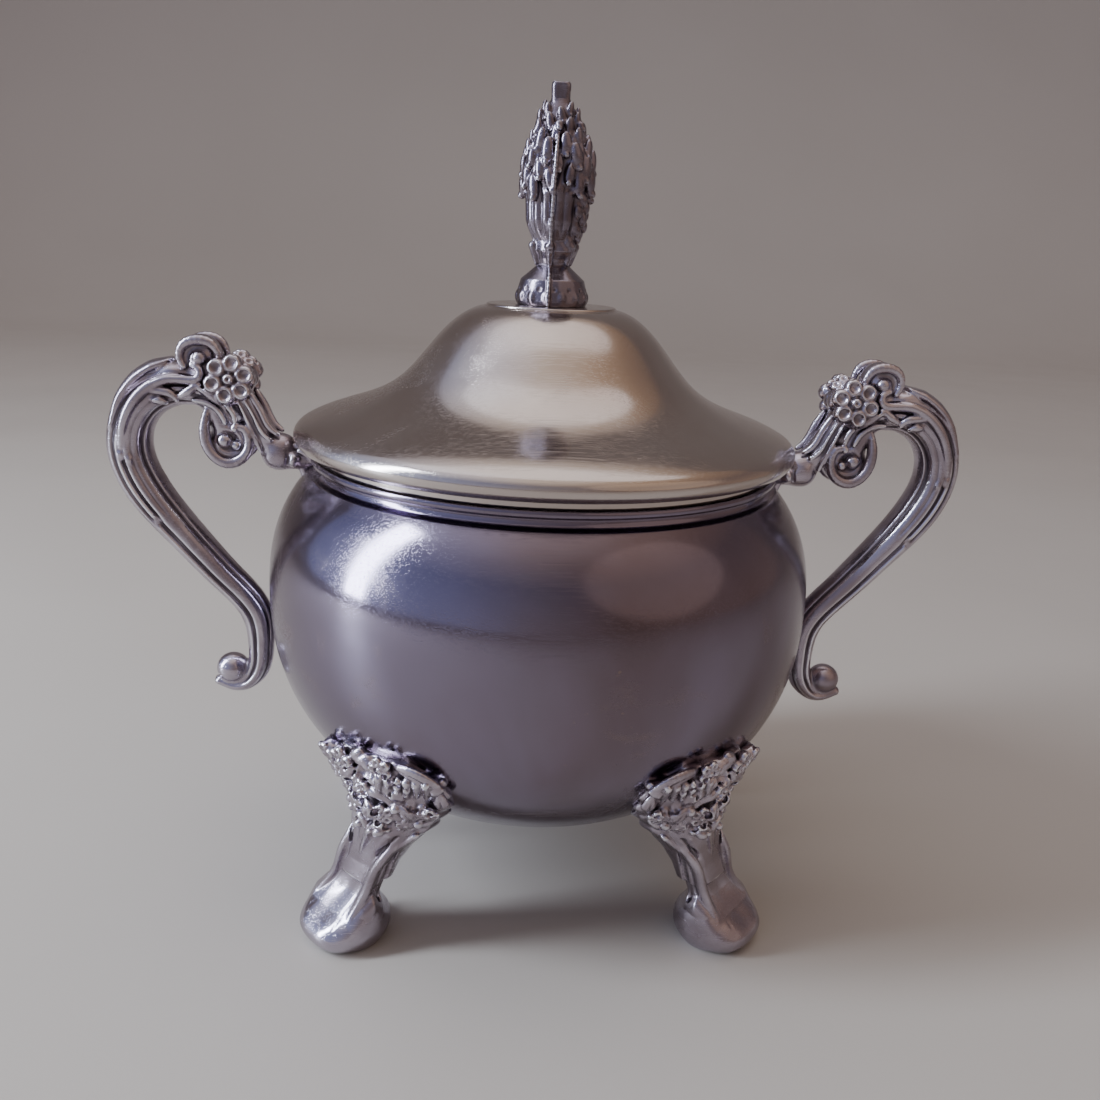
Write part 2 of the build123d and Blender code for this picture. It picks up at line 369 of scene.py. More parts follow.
def bell(value, centre, width):
    """Smooth bump of height 1."""
    return np.exp(-(((value - centre) / width) ** 2))


def below(level):
    """Shape that fills everything below a level, for carving a flat base."""
    return lambda x, y, z: z - level + 0 * x + 0 * y


def cross_axes(normal, turn=0.0):
    """Two unit axes across a normal, turned about it, and the normal itself."""
    n = Vector(normal).normalized()
    side = UP.cross(n)
    side = side.normalized() if side.length > 1e-3 else Vector((1, 0, 0))
    up = n.cross(side)
    return side * cos(turn) + up * sin(turn), up * cos(turn) - side * sin(turn), n


def rosette(clay, centre, normal, radius, petals=5, turn=0.0, proud=1.0):
    """Open flower on a surface: cupped petals with a notch, round a drilled boss."""
    c = Vector(centre)
    for k in range(petals):
        out, side, n = cross_axes(normal, turn + 2 * pi * k / petals)
        middle = c + out * radius * 0.62 + n * 0.25 * proud
        size = (radius * 0.42, radius * 0.40, 0.34 * radius * proud)
        clay.egg(middle, size, (out, side, n), 0.22)
        cup = middle + out * radius * 0.04 + n * size[2] * 0.95
        clay.egg(cup, (size[0] * 0.62, size[1] * 0.6, size[2] * 0.55), (out, side, n), 0.2, True)
        notch = c + out * radius * 1.06 + n * size[2] * 0.7
        clay.rod(notch, notch - n * size[2], radius * 0.09, radius * 0.09, 0.2, True)
    boss = (radius * 0.28, radius * 0.28, radius * 0.36 * proud)
    out, side, n = cross_axes(normal, turn)
    clay.egg(c + n * 0.35 * proud, boss, (out, side, n), 0.12)
    top = c + n * (0.35 * proud + radius * 0.36 * proud)
    clay.ball(top, radius * 0.11, 0.12, True)


# ---- spun pieces


def belly_arc(power, height, side, stop_z, inset, steps):
    """Half of the bowl's outline, from the widest circle towards a pole, or to stop_z."""
    radius = BELLY_R - inset
    reach = height - inset
    last = 1.0 if stop_z is None else (abs(stop_z - BELLY_Z) / reach) ** (power / 2)
    rise = np.sin(np.linspace(0, pi / 2, steps)) * last
    run = (1 - np.minimum(rise, 1) ** 2) ** (1 / power)
    return [(radius * a, BELLY_Z + side * reach * b ** (2 / power)) for a, b in zip(run, rise)]


def arc(centre, radius, start, end, steps):
    """Arc in the outline's plane, by angles in degrees."""
    angles = np.radians(np.linspace(start, end, steps))
    return [(centre[0] + radius * cos(a), centre[1] + radius * sin(a)) for a in angles]


def build_bowl():
    outer_low = belly_arc(LOWER_POWER, LOWER_REACH, -1, None, 0, 70)
    outer_up = belly_arc(UPPER_POWER, UPPER_REACH, 1, SHOULDER_Z, 0, 46)
    foot_r = outer_up[-1][0]
    cove_middle = (COLLAR_R + 0.25 * (foot_r - COLLAR_R), SHOULDER_Z + 0.45)
    cove = smooth_curve([outer_up[-1], cove_middle, (COLLAR_R, SHOULDER_Z + 1.7)], 14, (-1, 0.55), (0, 1))
    inner_up = belly_arc(UPPER_POWER, UPPER_REACH, 1, SHOULDER_Z - WALL, WALL, 40)
    inner_low = belly_arc(LOWER_POWER, LOWER_REACH, -1, None, WALL, 60)
    mouth_r = COLLAR_R - WALL
    outline = outer_low[::-1] + outer_up[1:] + [tuple(p) for p in cove[1:]]
    outline += [(COLLAR_R, RIM_Z - 0.15), (COLLAR_R - 0.15, RIM_Z)]
    outline += [(mouth_r + 0.4, RIM_Z), (mouth_r, RIM_Z - 0.4)]
    outline += [(mouth_r, SHOULDER_Z + 0.6)] + inner_up[::-1] + inner_low[1:]
    outline[0] = (0, outline[0][1])
    outline[-1] = (0, outline[-1][1])
    lathe("bowl_shell", outline, "bowl", ["bowl_body"], steps=360)
    wire_r = 0.9
    middle = (RIM_WIRE_R - wire_r, RIM_Z - wire_r)
    wire = [(COLLAR_R, RIM_Z)] + arc(middle, wire_r, 90, -90, 20) + [(COLLAR_R, RIM_Z - 2 * wire_r)]
    lathe("rim_wire", wire[::-1], "bowl", ["bowl_rim_wire"], steps=360)


def build_lid():
    brim_r = LID_HIGH.x
    lip_z = LID_LOW.z
    disc_z = LID_HIGH.z - DISC_STEP
    brim = (brim_r - 1.6, 94.6)
    bell_points = [(DISC_R + 0.3, disc_z), (16.6, 115.4), (22.2, 110), (28.6, 102.8), (38, 98), brim]
    slope = smooth_curve(bell_points, 120, (1, -0.15), (0.9, -0.5))
    roll_points = [brim, (brim_r, 92.4), (brim_r - 0.75, 90.75), (LIP_R, lip_z)]
    roll = smooth_curve(roll_points, 34, (0.9, -0.5), (-1, -0.2))
    edge_r = DISC_R - 0.35
    top = [(2, LID_HIGH.z), (edge_r, LID_HIGH.z)] + arc((edge_r, LID_HIGH.z - 0.3), 0.3, 80, 0, 6)
    outer = np.concatenate([slope, roll[1:]])
    skin = top + [tuple(p) for p in outer]
    along = np.gradient(outer, axis=0)
    along /= np.linalg.norm(along, axis=1)[:, None]
    inside = [(p[0] + way[1] * LID_WALL, p[1] - way[0] * LID_WALL) for p, way in zip(outer, along)]
    inside = [p for p in inside if p[1] > lip_z - 0.3]
    outline = skin + inside[::-1] + [(2, inside[0][1])]
    lathe("lid_bell", outline[::-1], "lid", ["lid_shell"], steps=360)


# ---- handles


def arm_relief(across, along):
    """Reeding of the arm: two outer beads under the leaf, then one outer bead and a broad ridge."""
    under_leaf = np.clip((0.47 - along) / 0.03, 0, 1)
    past_end = np.clip((0.97 - along) / 0.06, 0, 1)
    upper = 0.20 * bell(across, 0.52, 0.10) + 0.20 * bell(across, 0.13, 0.09)
    upper = upper + 0.05 * bell(across, -0.3, 0.08)
    lower = 0.30 * bell(across, 0.30, 0.16) + 0.05 * bell(across, 0.78, 0.07)
    inner = 0.22 * bell(across, -0.72, 0.07)
    return 1 - past_end * (under_leaf * upper + (1 - under_leaf) * lower + inner)


def model_handle():
    """The right handle, as the half with y >= 0."""
    clay = Clay((40.5, 0, 34), (87.5, 7.4, 112), 0.22)
    arm = [
        (62.6, 97.2), (67.5, 99.6), (73, 99), (78, 94.8), (79.9, 87.8), (77.1, 79.4), (70.4, 70.6),
        (62.4, 61.4), (56.7, 53.6), (56.2, 47.4), (57.2, 41.6), (60.4, 38.6), (64.6, 39.2),
    ]
    half_width = [2.6, 3.8, 4.1, 4.2, 4.3, 4.2, 3.6, 3.2, 3.1, 2.6, 2.3, 1.5, 1]
    half_depth = [3, 3.9, 4.3, 4.5, 4.5, 4.4, 4.1, 3.7, 3.4, 3.1, 2.9, 2.6, 1.8]
    clay.strip(arm, half_width, half_depth, arm_relief, 0.5)

    # The tail ends in a knob that the last of the band rolls under.
    clay.egg((62, 0, 42), (3.3, 3.2, 3.1), UPRIGHT, 0.7)
    roll = [(65.4, 2, 41.4), (62.6, 2.7, 39.3), (59.6, 2.9, 40.2), (57.9, 3, 43), (57.5, 3.1, 47)]
    clay.thread(roll, [0.3, 0.5, 0.55, 0.5, 0.3], 0.4, True)

    # Leg from the flower down to the knuckle, with three ribs.
    leg = [(61, 101), (57.6, 95.6), (54.8, 91), (52, 88)]
    clay.strip(leg, [3, 2.5, 2.5, 2.4], [3.8, 3.4, 3.2, 3.2], None, 0.8)
    for path in (
        [(58.4, 3.5, 97.8), (57.1, 3.3, 95.1), (56, 3.1, 91.6), (54.6, 2.9, 88)],
        [(57.4, 3.3, 98.2), (55.8, 3.2, 95.1), (54.3, 3.1, 91.9), (52.8, 3, 90.2)],
        [(56.2, 2.8, 98.6), (54.6, 2.7, 95.7), (52.9, 2.6, 92.4), (51.4, 2.4, 91.2)],
    ):
        clay.thread(path, [0.5, 0.72, 0.7, 0.45], 0.3)
    for path in (
        [(57.9, 3.9, 97.4), (56.4, 3.8, 94.6), (55.1, 3.6, 91.4), (54, 3.5, 89.2)],
        [(56.7, 3.6, 97.8), (55.1, 3.5, 95), (53.6, 3.4, 92), (52.8, 3.2, 91)],
    ):
        clay.thread(path, [0.3, 0.4, 0.35, 0.25], 0.25, True)

    # Knuckle, the small ball beside it, and the leaf that reaches the bowl's neck.
    clay.egg((51.5, 0, 87.5), (3.7, 3.6, 3.6), UPRIGHT, 0.5)
    clay.strip([(52, 86.6), (48.5, 86.3), (43, 86)], [2.6, 2.2, 1.6], [3.4, 3.4, 2.9], None, 0.6)
    clay.ball((48.5, 2.7, 86.4), 1.35, 0.2)
    clay.thread([(49.9, 3.4, 89), (49.4, 3.6, 87.2), (49.8, 3.3, 85.2)], [0.25, 0.35, 0.25], 0.25, True)
    clay.thread([(47.4, 2.6, 88.2), (45.6, 2.7, 87.4), (44, 2.7, 85.8)], [0.5, 0.6, 0.5], 0.3)
    clay.thread([(48.2, 1.4, 88.9), (46, 1.4, 88.1), (44.2, 1.5, 87.4)], [0.5, 0.6, 0.4], 0.3)
    clay.thread([(47, 1.2, 85), (46.4, 1.3, 83.2), (46.6, 1.1, 81.6)], [0.9, 0.8, 0.35], 0.4)

    # Stem that drops from the arch into the volute.
    clay.strip([(64.6, 98.4), (63.2, 95.2), (61.6, 91.5)], [2.6, 2.3, 2.6], [3.6, 3.4, 3.4], None, 0.8)
    clay.strip([(61, 98), (59.4, 94.6), (58.4, 91)], [2.4, 2.4, 2.2], [2.6, 2.5, 2.5], None, 0.8)

    # Volute: a raised rim that curls round a hollow with two balls.
    clay.egg((60.6, 0, 89.2), (4.4, 3.7, 4.3), UPRIGHT, 0.5)
    clay.egg((60.4, 4.1, 89.5), (2.7, 1.8, 2.7), UPRIGHT, 0.4, True)
    rim = [
        (64.4, 3, 95.4), (65, 3.2, 91.6), (64, 3.3, 87.6), (61, 3.3, 85.5), (57.8, 3.3, 86.8),
        (56.7, 3.3, 90), (57.9, 3.5, 92.4), (59.2, 3.6, 92.5),
    ]
    clay.thread(rim, [0.6, 0.95, 1, 1, 1, 0.95, 0.8, 0.6], 0.35, count=26)
    clay.ball((59.2, 3.7, 92.3), 0.85, 0.15)
    clay.ball((61.3, 2.9, 89.8), 1.45, 0.15)
    clay.ball((59.2, 2.8, 88.9), 1, 0.15)

    # Ribs that sweep from the arch towards the volute.
    sweep = [(65.8, 4, 99), (62.6, 4, 98.2), (60.4, 3.9, 96.6), (59.2, 3.8, 94.6), (59, 3.7, 93)]
    clay.thread(sweep, [0.5, 0.6, 0.6, 0.5, 0.4], 0.25)
    sweep = [(66.6, 3.8, 97.4), (63.8, 3.7, 96.8), (61.9, 3.6, 95.2), (61, 3.5, 93.2)]
    clay.thread(sweep, [0.4, 0.5, 0.5, 0.4], 0.25)
    groove = [(66, 4.3, 98.2), (63.2, 4.3, 97.5), (61.1, 4.2, 95.9), (60, 4.1, 93.6)]
    clay.thread(groove, [0.3, 0.35, 0.35, 0.3], 0.2, True)

    # Body under the flower and the curl that rises behind it.
    clay.egg((60.2, 0, 101.2), (4.3, 4.6, 4.2), UPRIGHT, 0.8)
    clay.egg((64.6, 0, 102.4), (3.6, 3.8, 3.2), UPRIGHT, 0.8)
    clay.egg((65.8, 0, 105.4), (4.1, 3.9, 4), UPRIGHT, 0.5)
    eye = [(63.3, 3.9, 104.6), (63.4, 3.9, 106.6), (65.4, 3.9, 107.3), (67.2, 3.8, 106.4), (67.5, 3.7, 104.8)]
    clay.thread(eye, [0.5, 0.7, 0.75, 0.7, 0.4], 0.25, True)
    curl = [
        (61.5, 3.3, 105), (62.6, 3.4, 107.6), (65.4, 3.5, 108.6),
        (68.3, 3.4, 107.4), (68.9, 3.3, 105.2), (68.2, 3.4, 103.6),
    ]
    clay.thread(curl, [0.5, 0.8, 0.9, 0.85, 0.7, 0.6], 0.3)
    clay.ball((65.3, 3.2, 105.2), 1.4, 0.12)

    # Leaf folded over the arch, its point standing proud, and the stem hooked under it.
    fold = [(82.4, 92), (80.6, 97), (77.4, 101), (74.4, 103.1), (71.4, 104.5)]
    clay.strip(fold, [0.9, 1.3, 1.5, 1.3, 0.5], [3.4, 3.7, 3.9, 3.6, 2.6], None, 0.5)
    groove = [(71.8, 3.4, 103.5), (74.2, 3.9, 102), (77, 4.2, 99.6), (79.4, 4.2, 96.2)]
    clay.thread(groove, [0.3, 0.4, 0.4, 0.25], 0.3, True)
    clay.egg((70.6, 0, 102.6), (3.4, 3.4, 1.5), UPRIGHT, 0.8)
    stem = [
        (66.6, 3.7, 104), (65.2, 4.1, 103.1), (65.2, 4.3, 101.9), (67.2, 4.2, 101.2),
        (70.6, 4.1, 101.3), (74.2, 4.2, 100), (77.4, 4.3, 97), (79.6, 4.2, 92.6), (80.4, 4, 88),
    ]
    clay.thread(stem, [0.6, 0.75, 0.85, 0.95, 1, 1, 0.9, 0.8, 0.5], 0.3, count=34)
    groove = [(66.9, 4.6, 103.6), (68.6, 4.6, 102.5), (71.2, 4.9, 102.3), (74, 4.9, 101.1)]
    clay.thread(groove, [0.3, 0.4, 0.35, 0.2], 0.2, True)
    clay.egg((80.5, 3.7, 86.6), (0.9, 0.8, 1.3), UPRIGHT, 0.25)
    clay.egg((79, 4, 85.6), (0.7, 0.6, 1.1), UPRIGHT, 0.25)

    # Scalloped lobes under the arch.
    for path, sizes in (
        ([(75.2, 4.2, 99.2), (72.6, 4.2, 99), (70.4, 4.2, 98.4), (69.6, 4, 97.4)], [0.5, 0.75, 0.8, 0.5]),
        ([(74, 3.9, 97.2), (72.6, 4, 97.2), (71.6, 3.8, 96.8)], [0.5, 0.8, 0.4]),
        ([(68.8, 4.1, 98.2), (67.2, 4.4, 99.2), (65.8, 4.4, 100.2)], [0.6, 0.8, 0.5]),
        ([(66, 4.4, 100.4), (63.6, 4.5, 99), (61.2, 4.4, 97.6), (58.8, 4, 97.4)], [0.6, 0.9, 1, 0.5]),
    ):
        clay.thread(path, sizes, 0.25)
    for spot, size in (((71.2, 4.4, 97.6), 0.5), ((68.4, 4.5, 97.2), 0.5), ((63.4, 4.9, 100.4), 0.45)):
        clay.ball(spot, size, 0.2, True)

    # The flower on the face, with a half-opened bloom above it.
    rosette(clay, (59.8, 4.2, 101.6), (-0.05, 1, 0.12), 4.7, 6, 0.3, 1.1)
    rosette(clay, (58.2, 2.2, 104.4), (-0.35, 0.75, 0.75), 2.6, 5, 0, 0.9)
    clay.egg((56.6, 1.2, 101.4), (1.2, 1.6, 1.7), UPRIGHT, 0.3)
    return clay


# ---- feet


def globe_distance(x, y, z):
    """Distance outside the lower half of the bowl, in millimetres."""
    a = np.sqrt(x * x + y * y) / BELLY_R
    b = np.abs(z - BELLY_Z) / LOWER_REACH
    total = np.maximum(a**LOWER_POWER + b**LOWER_POWER, 1e-6)
    level = total ** (1 / LOWER_POWER)
    share = total ** (1 / LOWER_POWER - 1)
    slope_r = share * a ** (LOWER_POWER - 1) / BELLY_R
    slope_z = share * b ** (LOWER_POWER - 1) / LOWER_REACH
    return (level - 1) / np.sqrt(slope_r**2 + slope_z**2 + 1e-9)


def globe_radius(z, extra=0.0):
    share = 1 - (np.abs(z - BELLY_Z) / (LOWER_REACH + extra)) ** LOWER_POWER
    return (BELLY_R + extra) * np.maximum(share, 0) ** (1 / LOWER_POWER)


# Side view of the leg: height, front and back, and half its breadth.
LEG_Z = [0, 4, 9, 14.6, 18, 22, 27, 32, 36, 40, 44, 48]
LEG_FRONT = [48, 48, 47.9, 47.4, 47, 47.1, 47.7, 48.6, 49.4, 50.2, 50.9, 51.4]
LEG_BACK = [44, 43.2, 42.4, 41.9, 41.4, 39.8, 38.6, 39, 41, 43, 44, 44]
LEG_HALF = [5.4, 5.4, 5.3, 5.1, 5.1, 5.6, 6.4, 7, 7.4, 7.4, 7.4, 7.4]
CREST_SPREAD = 9.0
CREST_LIFT = 0.9
UNDER_CREST_Z = 30.0  # below this the crest's ground no longer follows the bowl
FAN_Z = [0, 14, 18, 22, 27, 31, 35, 39, 45]
FAN_HALF = [5.3, 5.1, 5.2, 6.0, 8.0, 10.0, 12.0, 13.2, 13.6]
TURN_Z = [0, 8, 18, 22, 27, 34, 50]
TURN_DEGREES = [-5.6, -5.2, 0.0, 2.2, 5.6, 8.4, 8.4]
TOE_MIDDLE = 46.8
TOE_HALF_LENGTH = 8.0
TOE_HALF_WIDTH = 8.3


def crest_front(t, z):
    """How far out the crest's ground reaches, at a height and a distance to the side."""
    radius = globe_radius(np.maximum(z, UNDER_CREST_Z), CREST_LIFT)
    side = np.sqrt(np.maximum(radius**2 - t * t, 0))
    return side + (np.interp(z, LEG_Z, LEG_FRONT) - radius) * np.exp(-((t / CREST_SPREAD) ** 2))


def on_crest(t, z, lift=0.0):
    """Point and outward direction on the crest's ground."""
    step = 0.3
    x = float(crest_front(t, z))
    slope_t = (float(crest_front(t + step, z)) - float(crest_front(t - step, z))) / (2 * step)
    slope_z = (float(crest_front(t, z + step)) - float(crest_front(t, z - step))) / (2 * step)
    normal = Vector((1.0, -slope_t, -slope_z)).normalized()
    return Vector((x, t, z)) + normal * lift, normal


def crest_leaf(clay, places, width, thick, lobes=0):
    """Leaf with a sunk vein, laid on the crest through places (side, height, lift)."""
    count = 12
    points = [on_crest(*place)[0] for place in places]
    middle = places[len(places) // 2]
    n = on_crest(middle[0], middle[1])[1].normalized()
    path = smooth_curve(points, count)
    step = np.linalg.norm(path[1] - path[0])
    for i in range(count):
        share = i / (count - 1)
        along = Vector(path[min(i + 1, count - 1)] - path[max(i - 1, 0)]).normalized()
        side = n.cross(along).normalized()
        up = along.cross(side)
        body = sin(pi * share) ** 0.6
        taper = 0.35 * (1 - share) + 0.25 * share
        half = width * (taper + (1 - taper) * body)
        if lobes:
            half *= 1 + 0.22 * sin(pi * (lobes * share - 0.5)) ** 3
        clay.egg(path[i], (step * 1.15, half, thick * (0.5 + 0.5 * body)), (along, side, up), 0.25)
    clay.thread([p + n * thick for p in points], [0.096, 0.16, 0.096], 0.25, True)


def fan_distance(t, z):
    """Outline of the crest from the front: a fan with a scalloped edge that narrows to the ankle."""
    half = np.interp(z, FAN_Z, FAN_HALF)
    half = half + 0.35 * np.cos(z * 2 * pi / 3.4) * np.clip((z - 24) / 4, 0, 1)
    top = 43.5 + 0.7 * np.cos((t + 4) * 2 * pi / 9.6) - 0.05 * np.maximum(t - 3, 0) ** 1.6
    top = top - 0.03 * np.maximum(-4 - t, 0) ** 2
    return np.maximum((np.abs(t) - half) * 0.75, z - top)


def scattered(count, first, low_z, high_z, half):
    """Places (side, height) strewn evenly over the crest without a visible pattern."""
    for k in range(first, first + count):
        t = half * (2 * (k * GOLDEN % 1) - 1)
        z = low_z + (high_z - low_z) * (k * SECOND_STEP % 1)
        if fan_distance(t, z) < -0.7:
            yield k, t, z


def model_toe(clay):
    """Broad flat toe that slopes down from the ankle, rounded where it meets the table."""

    def toe(x, y, z):
        ahead, aside = (x - TOE_MIDDLE) / TOE_HALF_LENGTH, y / TOE_HALF_WIDTH
        plan = (np.abs(ahead) ** 2.5 + np.abs(aside) ** 2.5) ** (1 / 2.5)
        top = np.interp(x, [38, 42, 46, 48, 50.5, 53, 56], [7, 9, 11.6, 10.4, 7.6, 5.9, 4.6])
        top = top - 1.6 * aside**2 - 0.5 * bell(y, 0, 2.6)
        upper = soft_max((plan - 1) * 8, (z - top) * 0.8, 2.4)
        underside = 2.2 * np.clip((plan - 0.6) / 0.4, 0, 1.3) ** 2
        return soft_max(upper, (underside - z) * 0.85, 1.6)

    clay.merge((38, -9, 0), (56, 9, 12), toe, 2.2)


def model_shin(clay):
    """Grooves and ribs down either edge of the shin, and folds that fan out under the crest."""
    for side in (-1, 1):
        rib = [
            on_crest(side * 5.6, 24.4, -0.4)[0], (46.8, side * 4.75, 19),
            (46.8, side * 4.7, 13.5), (47.9, side * 5.2, 9.8), (49.6, side * 5.9, 6.9),
        ]
        clay.thread(rib, [0.7, 0.85, 0.85, 0.8, 0.4], 0.6, False, 24)
        groove = [
            on_crest(side * 4, 24.4, 0.1)[0], (47.6, side * 3.45, 19),
            (47.9, side * 3.4, 13.5), (50.2, side * 3.9, 8.4), (53.2, side * 4.7, 5.4),
        ]
        clay.thread(groove, [0.3, 0.5, 0.55, 0.5, 0.2], 0.3, True, 26)
        flank = [(45, side * 5.7, 24), (43.9, side * 5.5, 14), (44.8, side * 6.6, 6)]
        clay.thread(flank, [0.3, 0.5, 0.3], 0.5, True, 20)
    for t, lean in ((-4.6, -2.6), (-2.3, -1.3), (0, 0), (2.3, 1.3), (4.6, 2.6)):
        low_end, high_end = on_crest(t, 20.4, -0.2)[0], on_crest(t + lean, 26.6, 0.3)[0]
        clay.rod(low_end, high_end, 0.35, 0.8, 0.35)
        low_end, high_end = on_crest(t + 1.1, 21, 0.5)[0], on_crest(t + 1.1 + lean, 26.4, 0.9)[0]
        clay.rod(low_end, high_end, 0.25, 0.45, 0.25, True)


def model_crest_ornament(clay):
    """Flowers, fluted shell and leaves, packed close, with drilled hollows between them."""
    for k, t, z in scattered(52, 1, 28.4, 44.6, 12.6):
        place, normal = on_crest(t, z, 0.3)
        out, side, n = cross_axes(normal, 2.4 * k)
        size = 1 + 0.5 * (k * 0.35 % 1)
        clay.egg(place, (size * 1.6, size * 0.9, size * 0.95), (out, side, n), 0.35)
    flowers = (
        (-6, 41, 3), (3.2, 42.6, 2.3), (2, 32.4, 2.5), (5.6, 30.4, 1.9), (-8.2, 34, 2.4),
        (-11.2, 40.6, 2.2), (-4.6, 30.6, 2.2), (-2.2, 37.2, 2.4), (-11, 36.8, 2.1), (9, 33.6, 2.1),
    )
    for t, z, radius in flowers:
        centre, normal = on_crest(t, z, 1)
        rosette(clay, centre, normal, radius, 5, t, 1.05)
    for k in range(6):
        t, z = 1.2 + 1.75 * k, 36.6 + 0.25 * k
        clay.rod(on_crest(t, z, 0.6)[0], on_crest(t + 1.3, z + 3.8, 1.2)[0], 0.6, 0.9, 0.2)
        clay.rod(on_crest(t + 0.9, z + 0.4, 1.4)[0], on_crest(t + 2.1, z + 3.6, 2)[0], 0.3, 0.4, 0.15, True)
    for leaf in (
        ([(6, 43.2, 0.5), (9.6, 42.8, 0.8), (13, 40.6, 0.4)], 1.5, 0.8),
        ([(12.8, 39.4, 0.6), (12.3, 37.2, 0.9), (11.4, 35.2, 0.5)], 1.2, 0.8, 2),
        ([(-7.8, 36.4, 1), (-6, 38, 1.6), (-3.6, 40, 1.1)], 1.3, 0.9, 3),
        ([(-5.8, 34.6, 1.1), (-3.8, 34.4, 1.7), (-2, 32.4, 1.2)], 1.2, 0.9, 3),
        ([(-1, 34.6, 1.2), (0, 33, 1.7), (0, 30.4, 1.2)], 1.1, 0.9, 2),
        ([(5, 35.2, 1.1), (6.2, 33.6, 1.6), (6.8, 31.8, 1)], 1.1, 0.9, 3),
    ):
        crest_leaf(clay, *leaf)
    scallop = [
        (-3.4, 28.4, 1.1), (-2.4, 30.4, 1.4), (-0.8, 29.8, 1.4),
        (0, 28.4, 1.2), (1.6, 29.8, 1.4), (3.2, 28.4, 1.1),
    ]
    edge = [on_crest(*place)[0] for place in scallop]
    clay.thread(edge, [0.5, 0.7, 0.6, 0.5, 0.7, 0.5], 0.2, count=28)
    beads = (
        (2, 28.2, 1.2), (-1.8, 28.2, 1), (-6.8, 30.8, 1.1), (7.4, 31.2, 1),
        (-9.8, 36.2, 0.9), (4.2, 34.6, 1), (-6, 28.6, 0.9),
    )
    for t, z, radius in beads:
        clay.ball(on_crest(t, z, 1.4)[0], radius, 0.12)
    clay.ball(on_crest(-1.2, 40.2, 1.6)[0], 1.7, 0.3, True)
    for k, t, z in scattered(46, 400, 29.5, 44, 12):
        clay.ball(on_crest(t, z, 1.5)[0], 0.5 + 0.4 * (k * 0.41 % 1), 0.2, True)


def model_foot():
    """A foot standing out along +X, before its crest and toe are turned."""
    clay = Clay((32.5, -15.5, -1.2), (58, 15.5, 48.5), 0.23)

    def crest(x, y, z):
        front = np.broadcast_to(crest_front(y, z), np.broadcast_shapes(y.shape, z.shape))
        face = (x - front) * 0.72
        back = np.maximum(-globe_distance(x, y, z) - 0.3, (front - 4.4 - x) * 0.72)
        return soft_max(face, soft_max(back, fan_distance(y, z), 0.8), 0.8)

    clay.merge((34, -14, 17), (56, 14, 47), crest, 0.3)

    def leg(x, y, z):
        front = np.interp(z, LEG_Z, LEG_FRONT)
        back = np.interp(z, LEG_Z, LEG_BACK)
        half = np.interp(z, LEG_Z, LEG_HALF)
        middle, deep = (front + back) / 2, (front - back) / 2
        dish = 0.7 * np.clip((25 - z) / 5, 0, 1) * bell(y, 0, 2.6)
        ahead = (x - middle) / np.maximum(deep - np.where(x > middle, dish, 0), 0.5)
        level = (np.abs(ahead) ** 2.8 + np.abs(y / half) ** 2.8) ** (1 / 2.8)
        return (level - 1) * np.minimum(half, deep) * 0.9

    clay.merge((37, -9, 4), (54, 9, 40), leg, 1.2)
    model_toe(clay)
    model_shin(clay)
    model_crest_ornament(clay)

    clay.merge((32, -16, -4), (61, 16, 0), below(0), 0.3, True)
    clay.merge((32, -16, 10), (61, 16, 49), lambda *at: globe_distance(*at) + 0.4, 0.05, True)
    return clay


def turned(skin):
    """Foot skin with its crest turned one way about the bowl's axis and its toe the other way."""
    points, quads, hollow, crevice = skin
    angle = np.radians(np.interp(points[:, 2], TURN_Z, TURN_DEGREES))
    x = points[:, 0] * np.cos(angle) - points[:, 1] * np.sin(angle)
    y = points[:, 0] * np.sin(angle) + points[:, 1] * np.cos(angle)
    return np.stack([x, y, points[:, 2]], axis=1), quads, hollow, crevice


# ---- finial


